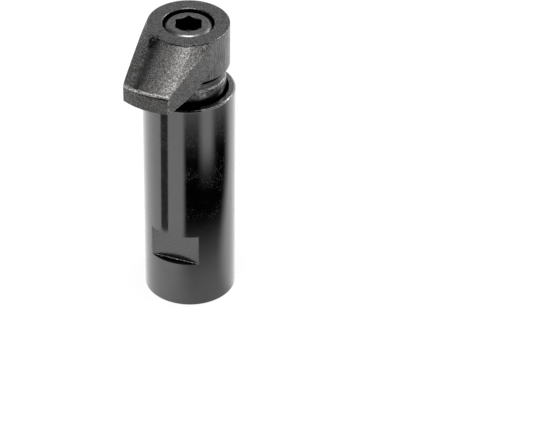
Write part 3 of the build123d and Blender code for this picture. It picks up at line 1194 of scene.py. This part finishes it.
@dataclass
class ThrustWasher(Piece):
    """Flat washer between the spring and the hook's shank."""

    name, node, body = "washer_ground", "thrust_washer", "carrier"
    column_count: int = 144
    foot: float = 57.7
    top: float = 59.7
    bore_radius: float = 6.3
    rim_radius: float = 14.25
    edge: float = 0.3

    def mesh(self) -> Mesh:
        """Turns the washer.

        Returns:
            The washer's mesh.
        """
        return self.sew([lathe([
            Corner(self.bore_radius, self.foot, soft=0.08, rows=6),
            Corner(self.rim_radius, self.foot, soft=self.edge),
            Corner(self.rim_radius, self.top, soft=self.edge, rows=6),
            Corner(self.bore_radius, self.top, soft=0.08, rows=2),
        ], columns(self.column_count), closed=True)])


@dataclass
class SpringCoil(Piece):
    """Compression spring with closed and ground ends, built at one length; in the clamp it shortens as
    the hook travels down.
    """

    name, node, body = "spring_coil", "compression_spring", "sleeve"
    foot: float = 40.0
    height: float = 17.7
    coil_radius: float = 12.4
    wire_radius: float = 1.1
    wire_sides: int = 18
    points_a_turn: int = 72
    closed_pitch: float = 2.25
    active_turns: float = 2.5
    travel: float = 6.125

    def mesh(self) -> Mesh:
        """Winds the spring, with one closed turn at each end, and grinds its ends.

        Returns:
            The spring's mesh.
        """
        wound = self.active_turns + 2
        grower = Grower(
            self.name, self.finish, foot=self.foot * MM, top=(self.foot + self.height) * MM,
            coil=self.coil_radius * MM, wire=self.wire_radius * MM, turns=wound,
            closed_pitch=self.closed_pitch * MM,
            active_pitch=(self.height - 2 * self.closed_pitch) / self.active_turns * MM,
            points=int(wound * self.points_a_turn) + 1, sides=self.wire_sides)
        foot, top, coil, wire, turns, closed_pitch, active_pitch, points, sides = grower.sizes
        add = grower.add
        turn = add("Math:MULTIPLY", add("GeometryNodeSplineParameter", out="Factor"), turns)
        active = add("Clamp", add("Math:SUBTRACT", turn, 1.0), 0.0, add("Math:SUBTRACT", turns, 2.0))
        closed = add("Math:SUBTRACT", turn, active)
        height = add("Math:MULTIPLY_ADD", closed, closed_pitch, foot)
        height = add("Math:MULTIPLY_ADD", active, active_pitch, height)
        line = add("GeometryNodeResampleCurve", {
            "Curve": add("GeometryNodeCurvePrimitiveLine"), "Count": points})
        path = add("GeometryNodeSetPosition", {
            "Geometry": line, "Position": grower.spot(coil, turn, height)})
        ring = add("GeometryNodeCurvePrimitiveCircle", {"Resolution": sides, "Radius": wire})
        round_wire = add("GeometryNodeCurveToMesh", {
            "Curve": path, "Profile Curve": ring, "Fill Caps": True})
        x, y, z = grower.position
        ground = add("CombineXYZ", x, y, add("Clamp", z, foot, top))
        return self.sew([grower.patch(add("GeometryNodeSetPosition", {
            "Geometry": round_wire, "Position": ground}))])

    def build(self) -> bpy.types.Object:
        """Puts the spring in the frame and gives it a mesh of its own.

        Returns:
            The piece.
        """
        piece = super().build()
        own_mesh(piece)
        return piece


@dataclass
class Studio:
    """Camera at the photographed angle, pale floor, soft light and the cards that shape it.

    The camera, the lamps and the floor are placed in metres, the cards in millimetres.
    """

    azimuth: float = 20.4
    elevation: float = 36.244
    roll: float = 0.799
    position: Place = (0.370240, -0.898446, 0.742506)
    lens: float = 198.505
    sensor: float = 36.0
    lit_spot: Place = (0.0, -0.01, 0.11)
    white: float = 1.05
    fill: float = 0.42
    floor_size: float = 6.0
    floor_glow: float = 1.1
    glow_share: float = 0.8
    dark_side: Place = (-0.58, -0.12, 0.805)
    wall: float = 18.0
    far: float = 47.0
    band: float = 10.4
    notch: float = 42.0

    def spot(self, bearing: float, reach: float, height: float = 0.0) -> Array:
        """Gives a point by its bearing from the camera's, its reach and its height."""
        turn = math.atan2(self.position[0], -self.position[1]) + math.radians(bearing)
        return np.array((reach * math.sin(turn), -reach * math.cos(turn), height))

    def set_camera(self) -> None:
        """Sets up the camera."""
        back = outwards(self.azimuth, self.elevation)
        turn = math.radians(self.azimuth)
        level = Vector((math.cos(turn), math.sin(turn), 0))
        right = Matrix.Rotation(math.radians(self.roll), 3, back) @ level
        data = bpy.data.cameras.new("camera")
        data.lens = self.lens
        data.sensor_width = self.sensor
        camera = link_object("camera", data)
        axes = Matrix((right, back.cross(right), back)).transposed()
        camera.matrix_world = Matrix.Translation(self.position) @ axes.to_4x4()
        bpy.context.scene.camera = camera

    def set_world(self) -> None:
        """Makes a surround that is white to the camera and low down, and dark on one side high up."""
        bpy.context.scene.view_settings.view_transform = "Standard"
        world = bpy.data.worlds.new("studio")
        bpy.context.scene.world = world
        world.use_nodes = True
        world.node_tree.nodes.clear()
        add = partial(add_node, world.node_tree)
        rays = add("LightPath").node.outputs
        toward = add("TexCoord", out="Generated")
        facing = add("VectorMath:DOT_PRODUCT", toward, self.dark_side, out="Value")
        glossy = add("MapRange", add("SeparateXYZ", toward, out="Z"), 0.12, 0.6, 1.0, 0.3)
        glossy = add("Math:MULTIPLY", glossy, add("MapRange", facing, 0.7, 0.9, 1.0, 0.02))
        strength = add("Mix", {0: rays["Is Glossy Ray"], 2: self.fill, 3: glossy})
        plain = add("Math:MAXIMUM", rays["Is Camera Ray"], rays["Is Transmission Ray"])
        strength = add("Mix", {0: plain, 2: strength, 3: self.white})
        add("OutputWorld", add("Background", "#ffffff", strength))

    def lay_floor(self) -> None:
        """Lays the pale floor, which still takes the clamp's soft shadow."""
        material, add = blank_material("pale_floor")
        rays = add("LightPath").node.outputs
        seen = add("Math:MAXIMUM", rays["Is Camera Ray"], rays["Is Glossy Ray"])
        seen = add("Math:MAXIMUM", seen, rays["Is Transmission Ray"])
        add("OutputMaterial", add(
            "MixShader", add("Math:MULTIPLY", seen, self.glow_share),
            add("BsdfDiffuse", "#e8e8e8"), add("Emission", "#ffffff", self.floor_glow)))
        half = self.floor_size / 2
        mesh = bpy.data.meshes.new("floor")
        mesh.from_pydata([(-half, -half, 0), (half, -half, 0), (half, half, 0), (-half, half, 0)],
                         [], [range(4)])
        mesh.materials.append(material)
        link_object("floor", mesh)

    def hang_lamps(self) -> None:
        """Hangs the soft square lamps."""
        for name, azimuth, elevation, distance, size, power in (
            ("top_softbox", 10, 79, 0.8, 0.36, 4.6),
            ("rear_softbox", 140, 33, 0.9, 0.3, 1.5),
        ):
            lamp = bpy.data.lights.new(name, "AREA")
            lamp.shape = "SQUARE"
            lamp.size = size
            lamp.energy = power
            stand = link_object(name, lamp)
            aim = outwards(azimuth, elevation)
            stand.location = Vector(self.lit_spot) + aim * distance
            stand.rotation_euler = aim.to_track_quat("Z", "Y").to_euler()

    def stand_cards(self) -> None:
        """Stands the dark cards, seen only as the bands that they reflect in the clamp."""
        # Each card's two edges: the near and the far one, or the left card's foot and top
        low = [[self.spot(bearing, reach, 0.3) for bearing in range(-70, 125, 5)] for reach in (15, 180)]
        left = [[self.spot(bearing, self.wall) + self.spot(2 * bearing, self.far, height)
                 for bearing in (first, first + self.band)]
                for first, height in ((-38.7, 0.5), (-37.3, 75))]
        nose = [[self.spot(bearing, reach, 0.2) for bearing in range(-90, -30, 5)]
                for reach in (168, 290)]
        for name, tone, edges in (("low_flag", None, low), ("left_flag", "#646464", left),
                                  ("nose_flag", "#6c6c6c", nose)):
            finish, add = blank_material(name)
            add("OutputMaterial", add("Emission", tone) if tone else self.soft_black(add))
            count = len(edges[0])
            mesh = bpy.data.meshes.new(name)
            mesh.from_pydata((np.concatenate(edges) * MM).tolist(), [], [
                (column, column + 1, count + column + 1, count + column)
                for column in range(count - 1)])
            mesh.materials.append(finish)
            card = link_object(name, mesh)
            for ray in ("camera", "diffuse", "shadow", "transmission"):
                setattr(card, "visible_" + ray, False)

    def soft_black(self, add: Callable[..., Socket]) -> Socket:
        """Shades the low card black, with soft edges and a notch in its far edge.

        Args:
            add: add_node for the card's tree.

        Returns:
            The shader, which thins out to nothing at the card's sides.
        """
        place = add("TexCoord", out="Object")
        across, near = (add("VectorMath:DOT_PRODUCT", place, self.spot(side, 1), out="Value")
                        for side in (90, 0))
        bearing = add("Math:DEGREES", add("Math:ARCTAN2", across, near))
        reach = add("Math:MULTIPLY", add("VectorMath:LENGTH", place, out="Value"), 1 / MM)
        # Over two reaches each: where the left side starts and ends and where the right side is,
        # as bearings, and how dense the card's near and far parts and its notch are
        start, end, side, inner, outer, cut = (add("MapRange:SMOOTHSTEP", reach, *span) for span in (
            (30, 64, -47, -18), (30, 64, 10, -7), (25, 110, 66, 103), (20, 80, 0.4, 1.0),
            (115, 180, 1.0, 0.4), (98, 134, 0, 1)))
        left = add("MapRange:SMOOTHSTEP", bearing, start, end, 0, 1)
        right = add("MapRange:SMOOTHSTEP", add("Math:SUBTRACT", bearing, side), -16, 16, 1, 0)
        aside = add("Math:ABSOLUTE", add("Math:SUBTRACT", bearing, self.notch))
        notch = add("Math:MULTIPLY", add("MapRange:SMOOTHSTEP", aside, 4, 26, 1.05, 0), cut)
        density = add("Math:SUBTRACT", 1.0, notch)
        for share in (left, right, inner, outer):
            density = add("Math:MULTIPLY", density, share)
        matt = add("BsdfDiffuse", (0.004, 0.004, 0.004, 1))
        return add("MixShader", density, add("BsdfTransparent"), matt)


def main() -> None:
    """Builds the clamp, its stage and its light, in order."""
    logging.basicConfig(level=logging.INFO, format="%(name)s: %(message)s")
    for piece in (
        SleeveHousing(TurnedBlackOxide().build()),
        HookForging(ForgedBlackOxide().build()),
        CapScrew(CapScrewBlackOxide().build()),
        ThrustWasher(GroundSteel().build()),
        SpringCoil(DrawnSpringWire().build()),
    ):
        piece.build()
    studio = Studio()
    studio.set_camera()
    studio.set_world()
    studio.lay_floor()
    studio.hang_lamps()
    studio.stand_cards()


if __name__ == "__main__":
    main()
